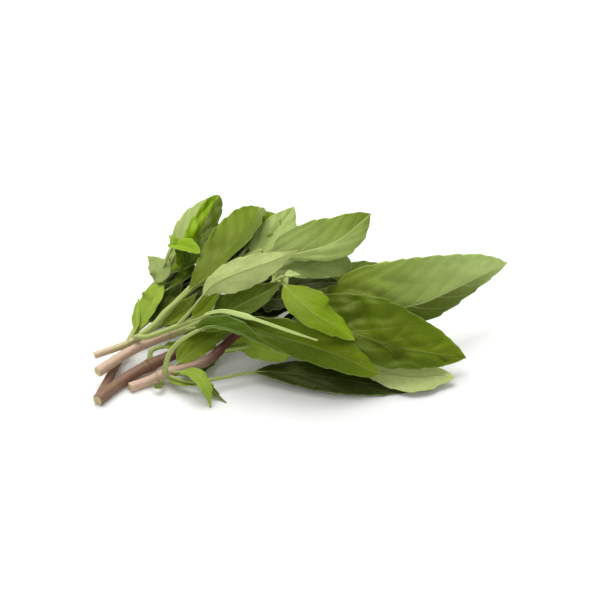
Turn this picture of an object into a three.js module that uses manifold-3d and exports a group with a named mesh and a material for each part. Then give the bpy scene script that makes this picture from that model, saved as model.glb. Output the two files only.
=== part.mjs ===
// Thai basil: a loose handful of five leafy cut stems, lying untied on a table.
//
// Millimetres, +Z up, the table at z = 0. The cut ends are at -X and the leaf tips at +X,
// and the side that faces the viewer is -Y. Basil bears its leaves in opposite pairs, each on
// a thin petiole. The blades are ovate, folded along the midrib, with shallow forward teeth.
// Each stem has a bare woody base, which is a node of its own, and a green leafy sprig that
// grows on from it, with its petioles, leaves and side shoots as one body.

import * as THREE from "three";
import Module from "manifold-3d";

const wasm = await Module();
wasm.setup();

// Driving sizes.
const BLADE = 0.7; // thickness of a leaf blade
const TOOTH = 0.7; // depth of a tooth in the margin of a leaf
const TOOTH_LEAN = 0.85; // share of a tooth's length at which its point stands
const BASE_POWER = 0.75; // a low power gives the blade a round base
const TIP_POWER = 1.15; // a high power draws its tip out
const TIP_WIDTH = 0.4; // half width of the blunt ends of a blade
const FOLD_FROM = 3; // half width below which a blade's fold and curl fade, towards its ends
const PETIOLE = 0.95; // radius of a petiole where it leaves the stem
const PETIOLE_END = 0.55; // its radius where it ends, inside the blade
const STEM_SQUARE = 0.07; // how square the stem is, as basil stems are
const NODE_SWELLING = 0.22; // how far a stem thickens where leaves join it, of its radius
const FINEST = 0.02; // the shortest edge kept
const SEAM = 0.3; // gap between a woody base and the sprig that grows on from it
const CENTRE = [1.3, 3.2]; // the middle of the handful, which is moved to x = 0, y = 0

// What a leaf has where its row says nothing.
const PLAIN_LEAF = {
  stalk: 0.2,
  wide: [5, 5],
  roll: [0, 0],
  fold: [10, 10],
  curl: [0, 0],
  wave: 0,
  teeth: 5,
  base: BASE_POWER,
  tip: TIP_POWER,
  thick: 1,
};

const UP = new THREE.Vector3(0, 0, 1);
const GREEN = 0x6f8c33;
const WOOD = 0x8d6a55;

// A smooth curve through points. getPointAt takes a share of its length.
function curveThrough(points) {
  const vectors = points.map((point) => new THREE.Vector3(...point));
  return new THREE.CatmullRomCurve3(vectors, false, "catmullrom", 0.5);
}

// Where a curve is at a share of its length, with its tangent, the way its face looks, and
// the side at the right hand. The face is straight up, turned about the tangent by roll degrees.
function frameAt(curve, share, roll = 0) {
  const origin = curve.getPointAt(share);
  const tangent = curve.getTangentAt(share);
  const face = UP.clone().addScaledVector(tangent, -UP.dot(tangent)).normalize();
  face.applyAxisAngle(tangent, THREE.MathUtils.degToRad(roll));
  const side = tangent.clone().cross(face);
  return { origin, tangent, face, side };
}

// A closed solid from a flat list of coordinates and a flat list of triangles.
function solid(coordinates, triangles) {
  const vertProperties = new Float32Array(coordinates);
  const triVerts = new Uint32Array(triangles);
  return new wasm.Manifold(new wasm.Mesh({ numProp: 3, vertProperties, triVerts }));
}

// A closed rod along a curve, from one share of its length to another. radiusAt gives the
// radius at a share, and square how much fuller the section is at its four corners.
function rod(curve, from, to, rows, sides, radiusAt, square = 0) {
  const coordinates = [];
  const triangles = [];
  for (let row = 0; row <= rows; row += 1) {
    const share = from + ((to - from) * row) / rows;
    const { origin, face, side } = frameAt(curve, share);
    for (let k = 0; k < sides; k += 1) {
      const angle = (2 * Math.PI * (k + 0.5)) / sides;
      const radius = radiusAt(share) * (1 - square * Math.cos(4 * angle));
      const point = origin.clone();
      point.addScaledVector(side, radius * Math.cos(angle));
      point.addScaledVector(face, radius * Math.sin(angle));
      coordinates.push(point.x, point.y, Math.max(point.z, 0));
    }
  }
  for (let row = 0; row < rows; row += 1) {
    for (let k = 0; k < sides; k += 1) {
      const a = row * sides + k;
      const b = row * sides + ((k + 1) % sides);
      triangles.push(a, a + sides, b + sides, a, b + sides, b);
    }
  }
  const last = rows * sides;
  for (let k = 1; k < sides - 1; k += 1) {
    triangles.push(0, k, k + 1, last, last + k + 1, last + k);
  }
  return solid(coordinates, triangles);
}

// The width of one half of a blade at a share of its length, as a part of its greatest width.
function ovate(share, basePower, tipPower) {
  const peak = basePower / (basePower + tipPower);
  return (share / peak) ** basePower * ((1 - share) / (1 - peak)) ** tipPower;
}

// How far the margin is cut back at a share of the blade: each tooth rises slowly to a point
// that looks forward and then drops, and the teeth fade out at both ends.
function toothCut(share, teeth) {
  const within = (share * teeth) % 1;
  const rise = within < TOOTH_LEAN ? 1 - within / TOOTH_LEAN : (within - TOOTH_LEAN) / (1 - TOOTH_LEAN);
  return TOOTH * rise * Math.min(1, 4 * share * (1 - share) + 0.15);
}

// The blade: rows at each tooth's notch and point, and columns from the left margin to the
// right. Each half leaves the midrib at the fold angle and bends on by the curl, so a section
// of it is an arc. Both faces are split alike, and a blade that reaches the table lies on it.
function blade(curve, leaf) {
  const { stalk, wide, roll, fold, curl, curlEnd, wave, teeth, base, tip } = leaf;
  const columns = wide[0] + wide[1] > 15 ? 4 : 2;
  const shares = [0];
  for (let k = 0; k < teeth; k += 1) {
    shares.push((k + TOOTH_LEAN) / teeth, (k + 1) / teeth);
  }
  const rows = shares.length - 1;
  const upper = [];
  const lower = [];
  shares.forEach((share) => {
    const turn = roll[0] + (roll[1] - roll[0]) * share;
    const { origin, face, side } = frameAt(curve, stalk + (1 - stalk) * share, turn);
    for (let column = 0; column <= columns; column += 1) {
      const v = (2 * column) / columns - 1;
      const hand = v < 0 ? 0 : 1;
      const outline = wide[hand] * ovate(share, base[hand], tip[hand]);
      const half = Math.max(outline - toothCut(share, teeth), TIP_WIDTH);
      const open = Math.min(1, half / FOLD_FROM);
      const start = THREE.MathUtils.degToRad(fold[hand]) * open;
      const curled = curl[hand] + (curlEnd[hand] - curl[hand]) * share;
      const bend = THREE.MathUtils.degToRad(curled) * open || 1e-6;
      const angle = start + bend * Math.abs(v);
      const out = (Math.sign(v) * half * (Math.sin(angle) - Math.sin(start))) / bend;
      const ripple = wave * v * v * Math.sin(5 * Math.PI * share + 2 * hand);
      const rise = (half * (Math.cos(start) - Math.cos(angle))) / bend + ripple;
      const thick = v === 0 ? BLADE / Math.cos((start + angle) / 2) : BLADE;
      const middle = origin.clone().addScaledVector(side, out).addScaledVector(face, rise);
      const normal = face.clone().multiplyScalar(v === 0 ? 1 : Math.cos(angle));
      normal.addScaledVector(side, -Math.sign(v) * Math.sin(angle));
      const top = middle.clone().addScaledVector(normal, thick / 2);
      const bottom = middle.clone().addScaledVector(normal, -thick / 2);
      const lift = Math.max(0, -Math.min(top.z, bottom.z));
      upper.push(top.x, top.y, top.z + lift);
      lower.push(bottom.x, bottom.y, bottom.z + lift);
    }
  });
  const across = columns + 1;
  const under = (rows + 1) * across;
  const triangles = [];
  for (let row = 0; row < rows; row += 1) {
    for (let column = 0; column < columns; column += 1) {
      const a = row * across + column;
      const c = a + across + 1;
      triangles.push(a, a + 1, c, a, c, c - 1);
      triangles.push(under + a, under + c, under + a + 1, under + a, under + c - 1, under + c);
    }
    const left = row * across;
    const right = left + columns;
    triangles.push(left, left + across, under + left + across, left, under + left + across, under + left);
    triangles.push(right, under + right, under + right + across, right, under + right + across, right + across);
  }
  for (let column = 0; column < columns; column += 1) {
    const end = rows * across + column;
    triangles.push(column, under + column, under + column + 1, column, under + column + 1, column + 1);
    triangles.push(end, end + 1, under + end + 1, end, under + end + 1, under + end);
  }
  return solid([...upper, ...lower], triangles);
}

// A leaf: its petiole starts on the stem's own axis and runs a little way into the blade.
function leafOn(stem, row) {
  const leaf = { ...PLAIN_LEAF, ...row };
  leaf.curlEnd = leaf.curlEnd || leaf.curl;
  leaf.base = [leaf.base, leaf.base].flat().slice(0, 2);
  leaf.tip = [leaf.tip, leaf.tip].flat().slice(0, 2);
  const root = stem.getPointAt(leaf.at);
  const curve = curveThrough([[root.x, root.y, root.z], ...leaf.path]);
  const end = Math.min(leaf.stalk + 0.12, 0.9);
  const rows = Math.max(2, Math.round((curve.getLength() * end) / 6));
  const taper = (share) => leaf.thick * (PETIOLE + ((PETIOLE_END - PETIOLE) * share) / end);
  return blade(curve, leaf).add(rod(curve, 0, end, rows, 5, taper));
}

// The stem's radius at a share of its length. It runs evenly between the shoot's radii, which
// are spaced evenly along it, and is fuller at each leaf node.
function stemRadius(shoot, length) {
  const nodes = [...new Set(shoot.leaves.map((leaf) => leaf.at))];
  return (share) => {
    const spans = shoot.radius.length - 1;
    const span = Math.min(Math.floor(share * spans), spans - 1);
    const plain = THREE.MathUtils.lerp(shoot.radius[span], shoot.radius[span + 1], share * spans - span);
    const bumps = nodes.map((node) => Math.exp(-((((share - node) * length) / 3) ** 2)));
    return plain * (1 + NODE_SWELLING * Math.max(0, ...bumps));
  };
}

// The leafy part of a shoot: its stem from a share of its length on, with its leaves, and
// the side shoots that grow from it.
function leafy(shoot, from) {
  const stem = curveThrough(shoot.path);
  const length = stem.getLength();
  const rows = Math.max(3, Math.round((length * (1 - from)) / 9));
  let body = rod(stem, from, 1, rows, 8, stemRadius(shoot, length), STEM_SQUARE);
  shoot.leaves.forEach((leaf) => {
    body = body.add(leafOn(stem, leaf));
  });
  (shoot.shoots || []).forEach((side) => {
    const root = stem.getPointAt(side.at);
    const path = [[root.x, root.y, root.z], ...side.path];
    body = body.add(leafy({ ...side, path }, 0));
  });
  return body;
}

// The bare base of a stem, up to the seam before its first leaves.
function bareBase(shoot) {
  const stem = curveThrough(shoot.path);
  const length = stem.getLength();
  const to = shoot.bare - SEAM / length;
  const rows = Math.max(3, Math.round((length * to) / 9));
  return rod(stem, 0, to, rows, 8, stemRadius(shoot, length), STEM_SQUARE);
}

// The sprigs. A leaf's row gives where it leaves its stem, as a share of the stem's length,
// the points that its midrib runs through after that, the share of it that is petiole, and
// the widths of the blade's left and right half. roll turns its face about the midrib, at the
// base and at the tip: at 0 the face looks up, and past 90 its underside does. fold and curl
// are for the left half and the right half, seen from above with the tip ahead, and curlEnd is
// the curl at the tip. base and tip are the powers of the outline, one for both halves or one
// for each. What a row leaves out is as in PLAIN_LEAF.
const sprigA = {
  path: [
    [-97, -20, 7], [-81, -14, 10], [-71, -11, 16], [-63, -5, 22], [-49, 2, 33], [-32, 8, 41],
    [-18, 14, 44],
  ],
  radius: [1.65, 1.4, 1.1],
  bare: 0.18,
  leaves: [
    {
      at: 0.42,
      path: [[-47, 0, 36], [-37, 12, 41], [-30, 23, 45], [-24.5, 36, 47], [-20.5, 50.5, 46]],
      stalk: 0.18, wide: [12.5, 12], roll: [0, 5], fold: [8, 32], curl: [10, 10], wave: 0.5, teeth: 7,
      base: 0.8, tip: 0.7,
    },
    {
      at: 0.26,
      path: [[-66, -7, 16], [-60, -5, 19], [-54, -1, 23], [-49, 3, 27]],
      stalk: 0.3, roll: [20, 20], fold: [20, 20], teeth: 4,
    },
    {
      at: 0.97,
      path: [[-12, 7, 45], [3, 9, 47], [18, 14, 50], [34, 31, 54]],
      stalk: 0.1, wide: [14, 9], roll: [30, 25], fold: [12, -5], curl: [0, -15], wave: 0.6, teeth: 6,
      base: [0.6, 1.6], tip: [0.85, 0.95],
    },
    {
      at: 0.8,
      path: [[-23, 11, 42], [-17.5, 19, 43], [-10, 34, 45], [-3, 47, 48]],
      wide: [9, 10], roll: [10, 10], fold: [15, 15], curl: [-20, -20], tip: 0.9,
    },
    {
      at: 0.86,
      path: [[-22, 28, 42], [-17, 38, 43], [-14, 47, 45]],
      stalk: 0.25, wide: [6, 9], fold: [15, 15], wave: 1, teeth: 4, tip: 0.5,
    },
    { at: 0.92, path: [[-8, 24, 35], [8, 35, 25], [24, 46, 14]], wide: [10, 10] },
    { at: 0.6, path: [[-35, 25, 26], [-26, 40, 13], [-16, 55, 0]], wide: [11, 11] },
    {
      at: 0.62,
      path: [[-36, 9, 30], [-29, 20, 33], [-20, 35, 36]],
      wide: [11, 11], roll: [20, 20], teeth: 4,
    },
  ],
  shoots: [{
    at: 0.22,
    path: [[-77, -16, 15], [-71, -20, 18], [-61, -18, 21], [-52, -16, 24]],
    radius: [1.35, 1],
    leaves: [
      {
        at: 0.8,
        path: [
          [-52, -15, 28], [-47, -13, 34], [-41, -10, 40], [-33, -10, 45], [-23, -9, 49], [-12, -8, 53],
          [-1, -4, 56],
        ],
        stalk: 0.28, wide: [9, 7], roll: [-115, -125], wave: 0.5, teeth: 6, base: 0.85,
      },
      {
        at: 0.97,
        path: [
          [-45, -14, 25], [-31.5, -22, 29], [-17.5, -32, 30], [0, -37.5, 27.5], [19.5, -40, 21],
          [36, -39.5, 11],
        ],
        stalk: 0.08, wide: [10, 8], roll: [15, 50], fold: [5, 5], curl: [150, -10], curlEnd: [-70, -10],
        wave: 0.4, teeth: 8, base: 1.1, tip: 0.6,
      },
      {
        at: 0.92,
        path: [
          [-46, -18.5, 28], [-43, -19, 30.5], [-36, -20.5, 33], [-27.5, -25.5, 34.5], [-17.5, -31.5, 35],
          [-5, -37.5, 34], [8, -40.5, 31],
        ],
        stalk: 0.12, wide: [1.6, 1.4], roll: [40, 40], fold: [-20, -20], teeth: 2, base: 0.5, tip: 0.8,
      },
      {
        at: 0.9,
        path: [[-46, -13, 28], [-41, -10, 32.5], [-36, -7, 36]],
        wide: [4, 4], roll: [30, 30], fold: [20, 20], teeth: 3,
      },
    ],
  }],
};

const sprigB = {
  path: [
    [-94, -34, 8], [-80, -20, 9.5], [-66, -13.5, 12.5], [-49, -10.5, 18.5], [-30, -6, 27], [-18, -5, 34],
    [-8, -4, 41],
  ],
  radius: [2.4, 2, 1.1, 1],
  bare: 0.4,
  leaves: [
    {
      at: 0.45,
      path: [[-41, -16, 23], [-30.5, -15, 31], [-19.5, -14, 37], [-7.5, -9, 42]],
      wide: [9, 9], roll: [25, 25], base: 0.9,
    },
    {
      at: 0.97,
      path: [[-5.5, -14, 41], [0, -24, 41], [8, -31, 38], [17.5, -32.5, 32], [25, -33.5, 26]],
      stalk: 0.12, wide: [13, 8], roll: [10, 10], fold: [0, 0], curl: [-15, -15], tip: 0.8,
    },
    { at: 0.99, path: [[-5, -3, 42], [0, -2, 41]], wide: [2, 2], roll: [30, 30], teeth: 2 },
    { at: 0.98, path: [[-7, -5, 40], [-6, -7, 38]], wide: [2, 2], roll: [30, 30], teeth: 2 },
    {
      at: 0.94,
      path: [[-11, 7.5, 36], [0, 7, 38], [12, 9.5, 37], [25, 12.5, 35]],
      stalk: 0.1, wide: [9, 6], roll: [35, 35], wave: 1, teeth: 4, tip: 0.4,
    },
    {
      at: 0.85,
      path: [[-7, 5.5, 28], [6, 6, 30.5], [20, 4, 32]],
      stalk: 0.3, wide: [9, 9], roll: [10, 10], teeth: 4,
    },
    { at: 0.5, path: [[-31, 4, 14], [-18, 9, 12], [-2, 14, 11]], wide: [8, 8], roll: [25, 25] },
    { at: 0.6, path: [[-22, 10, 24], [-8, 26, 20], [4, 42, 12]], wide: [11, 11] },
    {
      at: 0.7,
      path: [[-21.5, 6, 18], [-7.5, 10.5, 20], [9.5, 17, 22]],
      wide: [11, 11], roll: [20, 20], teeth: 4,
    },
    {
      at: 0.75,
      path: [[-18, 1, 24], [-8, -2, 27], [1, -5, 28]],
      stalk: 0.3, wide: [10, 9], roll: [20, 20], teeth: 4,
    },
    {
      at: 0.41,
      path: [[-57, -7, 12], [-51, -5, 12], [-44.5, -3, 12.5]],
      wide: [4, 4], roll: [20, 20], teeth: 4,
    },
  ],
};

const sprigC1 = {
  path: [
    [-93, -48, 2.5], [-88, -27, 3], [-83, -11, 4.5], [-78, 2, 9], [-72, 15, 19], [-65, 28, 28], [-56, 41, 35],
  ],
  radius: [2.2, 1.5, 0.9],
  bare: 0.36,
  leaves: [
    {
      at: 0.4,
      path: [[-73.5, 5, 15], [-70, 9.5, 20], [-67.5, 16.5, 24]],
      wide: [8, 6], roll: [-10, -10], fold: [12, 12], teeth: 4, base: 0.6, tip: 0.6,
    },
    {
      at: 0.38,
      path: [[-78.5, -2, 11], [-78.5, 5.5, 14], [-78.5, 12.5, 17]],
      wide: [1.5, 2], roll: [-30, -30], fold: [20, 20], teeth: 3,
    },
    {
      at: 0.6,
      path: [[-64.5, 26, 26], [-58, 32, 36], [-52.5, 45.5, 43], [-46, 57, 47]],
      wide: [6, 7], roll: [-160, -150], fold: [15, 15], teeth: 6, base: 1.1, tip: 1,
    },
    {
      at: 0.75,
      path: [[-55, 19, 34], [-50, 30, 41], [-45, 43, 46], [-40, 55, 50]],
      stalk: 0.1, wide: [7, 8.5], roll: [10, 10], fold: [30, 20], wave: 0.8, teeth: 6, base: 0.9, tip: 0.7,
    },
    {
      at: 0.68,
      path: [[-69.5, 19, 27], [-71.5, 25, 29], [-74.5, 29, 31]],
      wide: [4, 8], roll: [-10, -10], teeth: 3,
    },
    {
      at: 0.62,
      path: [[-56, 15, 28], [-56, 18.5, 34], [-58, 22, 39], [-60, 24.5, 42], [-63.5, 29, 43]],
      stalk: 0.25, fold: [20, 20], teeth: 3, tip: 0.9,
    },
    {
      at: 0.7,
      path: [[-62, 25, 38], [-60, 23.5, 41], [-55.5, 19.5, 43], [-51, 15.5, 43.5], [-47.5, 12.5, 43.5]],
      stalk: 0.5, wide: [5, 6], roll: [10, 10], fold: [20, 20], teeth: 3, tip: 0.8,
    },
    {
      at: 0.42,
      path: [[-62, 9, 6], [-50, 22, 6], [-35, 34, 5]],
      stalk: 0.3, wide: [6, 6], roll: [20, 20], teeth: 4,
    },
    { at: 0.55, path: [[-60, 35, 18], [-52, 45, 9], [-43, 57, 0]], wide: [9, 9] },
    {
      at: 0.46,
      path: [[-67.5, 5.5, 14], [-64, 11.5, 18], [-60, 19.5, 21], [-57, 27, 24]],
      wide: [6, 6], teeth: 4,
    },
    {
      at: 0.5,
      path: [[-69.5, 18.5, 12], [-60, 25.5, 16], [-47, 35, 20]],
      wide: [9, 9], roll: [20, 20], teeth: 4,
    },
    {
      at: 0.54,
      path: [[-60.5, 15.5, 14], [-50.5, 17, 18], [-41, 21.5, 22]],
      wide: [8, 8], roll: [20, 20], teeth: 4,
    },
  ],
};

const sprigC2 = {
  path: [
    [-93, -48, 2.5], [-83.5, -35, 3], [-72, -26, 5], [-52, -14, 7], [-30, -4, 9], [-5, -2, 13], [12, -2, 19],
  ],
  radius: [2.6, 2.5, 1.4, 1],
  bare: 0.26,
  leaves: [
    {
      at: 0.97,
      path: [[23, -5, 22], [40, -9, 26], [57, -7, 28], [76, 3, 31], [100, 20, 33]],
      stalk: 0.06, wide: [23, 9.5], roll: [20, 20], fold: [35, -35], wave: 0.6, teeth: 9, base: 0.42, tip: 0.8,
    },
    {
      at: 0.93,
      path: [[21, 12, 27], [31, 18, 30], [42, 20, 32]],
      stalk: 0.3, wide: [8, 6], roll: [10, 10], teeth: 4,
    },
    {
      at: 0.76,
      path: [[1, -4, 17], [9, -8, 21], [25, -22, 22], [42, -28, 19], [60, -27, 14], [78, -23, 8]],
      stalk: 0.165, wide: [20, 12], roll: [40, 40], fold: [8, 8], wave: 0.6, teeth: 8, tip: 0.85,
    },
    {
      at: 0.27,
      path: [[-70.5, -20, 9], [-66.5, -17, 9.5], [-60, -14.5, 8.5], [-53, -11, 6]],
      stalk: 0.5, wide: [3, 3], roll: [10, 10], teeth: 3, thick: 1.6,
    },
    { at: 0.8, path: [[-1, 8, 9], [9, 20, 5], [20, 31, 0]], wide: [8, 8] },
    { at: 0.95, path: [[24, 6, 12], [40, 12, 7], [58, 14, 2]], wide: [8, 8] },
    { at: 0.85, path: [[12, 15, 16], [28, 30, 8], [45, 43, 0]], wide: [12, 12], teeth: 6 },
    {
      at: 0.7,
      path: [[-5, -1, 8], [14.5, -3.5, 10], [33.5, 0.5, 10]],
      wide: [13, 10], roll: [20, 20], teeth: 4,
    },
  ],
};

const sprigD = {
  path: [[-79, -38, 1.9], [-72, -34, 2], [-62, -31, 5], [-44, -27, 9], [-30, -16, 16], [-15, -10, 21]],
  radius: [2.3, 2, 1.5],
  bare: 0.19,
  leaves: [
    {
      at: 0.24,
      path: [
        [-62, -36, 13], [-60, -36, 20], [-56, -34.5, 25], [-49.5, -32.5, 29], [-42, -29.5, 31],
        [-34.5, -32.5, 32.5], [-26, -36.5, 32], [-18.5, -39.5, 29],
      ],
      stalk: 0.5, wide: [6, 2], roll: [20, 20], fold: [20, 20], teeth: 4, base: 0.6, tip: 0.7, thick: 1.6,
    },
    { at: 0.27, path: [[-49.5, -38.5, 11], [-43, -46, 8], [-41, -50.5, 0]], wide: [4, 4.5], teeth: 4 },
    {
      at: 0.26,
      path: [[-48, -34, 5], [-43, -39, 4], [-39, -43, 2], [-34, -47, 0]],
      stalk: 0.4, wide: [2.5, 2.5], teeth: 4,
    },
    { at: 0.22, path: [[-65, -39, 3], [-69, -38, 4], [-69, -36, 4]], wide: [1.5, 1.5], teeth: 3 },
    {
      at: 0.22,
      path: [[-60, -35, 4], [-55, -37, 4], [-51, -38, 4], [-47, -39, 4]],
      wide: [2.5, 3], teeth: 3,
    },
    {
      at: 0.23,
      path: [[-51, -37.5, 5], [-36, -34.5, 5], [-20, -29.5, 4.5], [0, -29.5, 3], [23, -33, 2], [52, -38.5, 0]],
      stalk: 0.37, wide: [11, 11], fold: [10, 0], teeth: 7, base: 0.9, tip: 0.9, thick: 1.2,
    },
    {
      at: 0.62,
      path: [[-18, -18.5, 11], [9.5, -21.5, 9], [33.5, -30, 6], [52, -35.5, 6], [63.5, -33, 5], [72, -32.5, 4]],
      stalk: 0.6, wide: [8, 7.5], roll: [-160, -160], fold: [5, 5], tip: 0.7,
    },
    {
      at: 0.5,
      path: [[-28.5, -17, 12], [-18, -21.5, 12], [-4.5, -23, 9]],
      wide: [6, 6], roll: [40, 40], tip: 0.5,
    },
    {
      at: 0.24,
      path: [[-56, -24, 7], [-48, -17, 10], [-40, -10, 11], [-32, -6, 12]],
      wide: [8, 7], roll: [10, 10],
    },
    {
      at: 0.25,
      path: [[-56, -28, 4], [-48, -25, 4], [-42, -20, 4], [-37, -16, 5]],
      wide: [3, 5], roll: [10, 10], teeth: 4,
    },
    { at: 0.9, path: [[0, -14, 14], [20, -20, 10], [45, -18, 6]], wide: [9, 9] },
  ],
};

// A node of the scene. Slivers shorter than FINEST, left where leaves cross, are closed up.
function nodeOf(name, body, colour) {
  const { vertProperties, triVerts } = body.simplify(FINEST).getMesh();
  const geometry = new THREE.BufferGeometry();
  geometry.setAttribute("position", new THREE.BufferAttribute(vertProperties, 3));
  geometry.setIndex(new THREE.BufferAttribute(triVerts, 1));
  geometry.computeVertexNormals();
  const material = new THREE.MeshStandardMaterial({ color: colour, roughness: 0.55, metalness: 0 });
  const mesh = new THREE.Mesh(geometry, material);
  mesh.name = name;
  return mesh;
}

const basil = new THREE.Group();
basil.add(nodeOf("stem_base_a", bareBase(sprigA), WOOD));
basil.add(nodeOf("stem_base_b", bareBase(sprigB), WOOD));
basil.add(nodeOf("stem_base_c_fork", bareBase(sprigC1).add(bareBase(sprigC2)), WOOD));
basil.add(nodeOf("stem_base_d", bareBase(sprigD), WOOD));
basil.add(nodeOf("sprig_a", leafy(sprigA, sprigA.bare), GREEN));
basil.add(nodeOf("sprig_b", leafy(sprigB, sprigB.bare), GREEN));
basil.add(nodeOf("sprig_c1", leafy(sprigC1, sprigC1.bare), GREEN));
basil.add(nodeOf("sprig_c2", leafy(sprigC2, sprigC2.bare), GREEN));
basil.add(nodeOf("sprig_d", leafy(sprigD, sprigD.bare), GREEN));
basil.children.forEach((mesh) => mesh.position.set(-CENTRE[0], -CENTRE[1], 0));

export default basil;
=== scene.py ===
# %% [markdown]
# # A loose handful of Thai basil
#
# Four cut stems, one of them forked, lie untied on a table with their leaf tips at the right. This
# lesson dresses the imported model: it follows every stem and leaf along a curve, turns it into a
# fine skin with numpy, and gives the skins leaf and bark materials made of nodes. We start by
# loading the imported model, because it fixes where everything is.

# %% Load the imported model
import math
from types import SimpleNamespace

import bpy
import numpy as np
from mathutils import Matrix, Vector


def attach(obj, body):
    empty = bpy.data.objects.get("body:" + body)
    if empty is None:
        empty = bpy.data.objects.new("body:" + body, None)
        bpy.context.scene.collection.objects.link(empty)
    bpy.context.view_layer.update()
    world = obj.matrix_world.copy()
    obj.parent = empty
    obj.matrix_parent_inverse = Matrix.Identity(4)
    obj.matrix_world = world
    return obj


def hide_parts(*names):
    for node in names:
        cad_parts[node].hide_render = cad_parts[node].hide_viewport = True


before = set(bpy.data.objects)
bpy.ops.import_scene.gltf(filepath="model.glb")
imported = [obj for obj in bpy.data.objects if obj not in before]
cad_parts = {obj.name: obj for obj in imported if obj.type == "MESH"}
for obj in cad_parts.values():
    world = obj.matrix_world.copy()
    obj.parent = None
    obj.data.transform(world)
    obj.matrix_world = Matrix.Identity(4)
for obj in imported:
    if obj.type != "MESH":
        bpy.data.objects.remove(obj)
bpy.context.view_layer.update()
MM = 0.001  # the rows below are in millimetres, and Blender's lengths in metres
CENTRE = np.array([1.3, 3.2, 0.0])  # middle of the handful, moved to x = 0, y = 0
GROUND = 0.02  # height above the table that no skin reaches below
print("nodes:", sorted(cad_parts))

# %% [markdown]
# ## Curves with a share of their length
#
# A stem or a midrib is a smooth line through a few points. A Catmull-Rom curve passes through all
# of them. Reading it by share of its length, instead of by its own parameter, spaces rows evenly
# however far apart the points are.

# %% Curves
CURVE_STEPS = 40  # samples between two points


def curve_through(points):
    """A uniform Catmull-Rom curve. Between points b and c, with a before and d after, the place is
    half of 2b + (c - a)f + (2a - 5b + 4c - d)f^2 + (3b - a - 3c + d)f^3. The end points are
    extrapolated. Returns the places and the length run at each."""
    p = np.array(points, float)
    p = np.vstack([2 * p[0] - p[1], p, 2 * p[-1] - p[-2]])
    spans = len(points) - 1
    t = np.linspace(0, spans, CURVE_STEPS * spans + 1)
    k = np.minimum(t.astype(int), spans - 1)
    f = (t - k)[:, None]
    a, b, c, d = p[k], p[k + 1], p[k + 2], p[k + 3]
    square, cube = 2 * a - 5 * b + 4 * c - d, 3 * b - a - 3 * c + d
    places = 0.5 * (2 * b + (c - a) * f + square * f**2 + cube * f**3)
    steps = np.linalg.norm(np.diff(places, axis=0), axis=1)
    return places, np.concatenate([[0.0], np.cumsum(steps)])


def unit(vectors):
    """Each vector divided by its length."""
    return vectors / np.linalg.norm(vectors, axis=-1, keepdims=True)


def frames_along(curve, share, roll):
    """Place, tangent, face and side at each share of a curve's length. The face is straight up made
    square to the tangent and turned about it by roll, in radians. The side is tangent x face."""
    places, run = curve
    at = np.asarray(share) * run[-1]
    slopes = np.gradient(places, run, axis=0)
    place = np.stack([np.interp(at, run, places[:, k]) for k in range(3)], axis=-1)
    tangent = unit(np.stack([np.interp(at, run, slopes[:, k]) for k in range(3)], axis=-1))
    up = np.zeros_like(tangent)
    up[..., 2] = 1
    face = unit(up - tangent * np.sum(up * tangent, axis=-1, keepdims=True))
    turn = np.broadcast_to(roll, at.shape)[..., None]
    face = face * np.cos(turn) + np.cross(tangent, face) * np.sin(turn)
    return place, tangent, face, np.cross(tangent, face)


bow = curve_through([(0, 0, 0), (10, 0, 4), (20, 0, 0)])
print(f"a bow over 20 mm that rises 4 mm is {bow[1][-1]:.2f} mm long")

# %% [markdown]
# ## Close a skin
#
# Every piece is gathered as skins: a grid of places, rows by columns, that closes round its
# columns like a tube. The two ends are closed by fans, so that each skin is a solid of its own.

# %% Close a skin
def row_mean(row):
    """The mean of a row's places or numbers, as one row."""
    return row.reshape(len(row), -1).mean(0)[None]


def closed_skin(grid, values):
    """A tube of rows x columns places, closed round its columns, with a fan at each end to the mean
    place of its last row. values maps an attribute's name to an array of numbers, one or more for
    each place, and a fan's middle takes the mean of its row."""
    rows, columns = grid.shape[:2]
    index = np.arange(rows * columns).reshape(rows, columns)
    a, b = index[:-1], np.roll(index[:-1], -1, axis=1)
    c, d = index[1:], np.roll(index[1:], -1, axis=1)
    quads = np.stack([a, c, d, b], axis=-1).reshape(-1, 4)
    first, last = rows * columns, rows * columns + 1
    start, end = index[0], index[-1]
    fans = np.concatenate([
        np.stack([np.full(columns, first), start, np.roll(start, -1)], axis=-1),
        np.stack([np.full(columns, last), np.roll(end, -1), end], axis=-1),
    ])
    numbers = {}
    for name, value in {"place": grid, **values}.items():
        listed = value.reshape(rows * columns, -1)
        numbers[name] = np.concatenate([listed, row_mean(value[0]), row_mean(value[-1])])
    return {"places": numbers.pop("place"), "quads": quads, "fans": fans, "numbers": numbers}


ring = np.array([(1, 0, 0), (0, 1, 0), (-1, 0, 0), (0, -1, 0)], float)
tube = closed_skin(np.stack([ring, ring + (0, 0, 1)]), {})
print("a tube of 2 rows and 4 columns:", len(tube["quads"]), "quads,", len(tube["fans"]), "fan faces")

# %% [markdown]
# ## Join skins in a mesh
#
# Joining the skins of one sprig in a single mesh keeps the scene short to read. The numbers that a
# material needs, such as colour and age, ride along as attributes, and the vein pattern as a UV map.

# %% Build a mesh
UV_LENGTH = 10.0  # millimetres in one unit of a UV map


def add_numbers(mesh, name, value, corners):
    """Stores numbers at the vertices: 'veins' as a UV map, three numbers as a colour, one as it is."""
    if name == "veins":
        mesh.uv_layers.new(name=name).data.foreach_set("uv", value[corners].ravel())
    elif value.shape[1] == 3:
        opaque = np.ones((len(value), 1), np.float32)
        colour = mesh.attributes.new(name, "FLOAT_COLOR", "POINT")
        colour.data.foreach_set("color", np.hstack([value, opaque]).ravel())
    else:
        mesh.attributes.new(name, "FLOAT", "POINT").data.foreach_set("value", value.ravel())


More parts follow.
